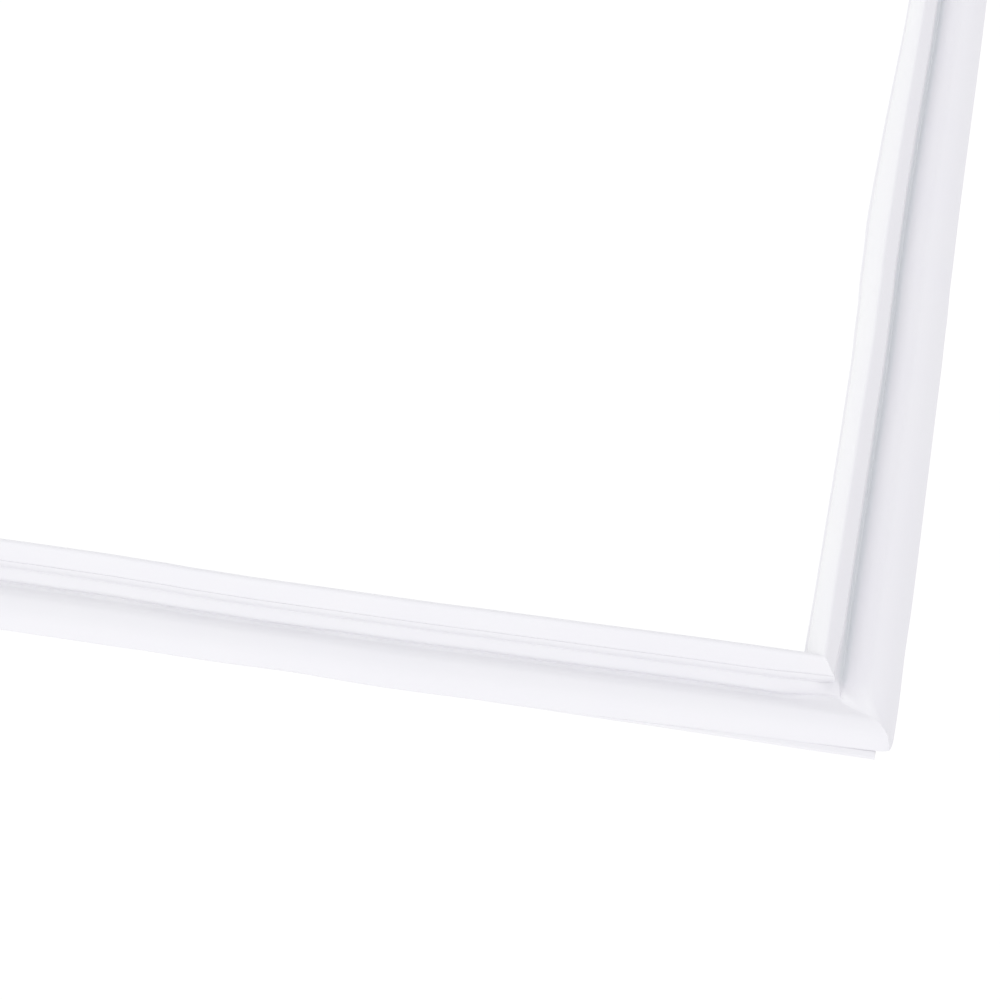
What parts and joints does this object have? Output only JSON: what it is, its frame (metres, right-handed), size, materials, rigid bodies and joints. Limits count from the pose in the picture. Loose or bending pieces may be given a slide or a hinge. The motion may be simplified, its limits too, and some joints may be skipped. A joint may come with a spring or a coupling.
{
  "type": "refrigerator door gasket",
  "caption": "White vinyl door seal frame with mitred welded corners, a magnet pocket on a soft bellows, a broad cover lip and a push-in dart on the back.",
  "frame": {"origin": "middle of the frame's outline, at the level of the dart tips that the gasket lies on", "axes": "+X across the door's width, +Y up the door's height, +Z away from the door, towards the cabinet face that the magnet pocket seals on"},
  "size_m": [0.57, 0.77, 0.0231],
  "materials": {
    "white_vinyl": "satin",
    "ferrite_strip": "matte"
  },
  "bodies": {
    "root": {"gasket_profile": "white_vinyl", "magnet_strip_bottom": "ferrite_strip", "magnet_strip_right": "ferrite_strip", "magnet_strip_top": "ferrite_strip", "magnet_strip_left": "ferrite_strip"}
  },
  "joints": []
}
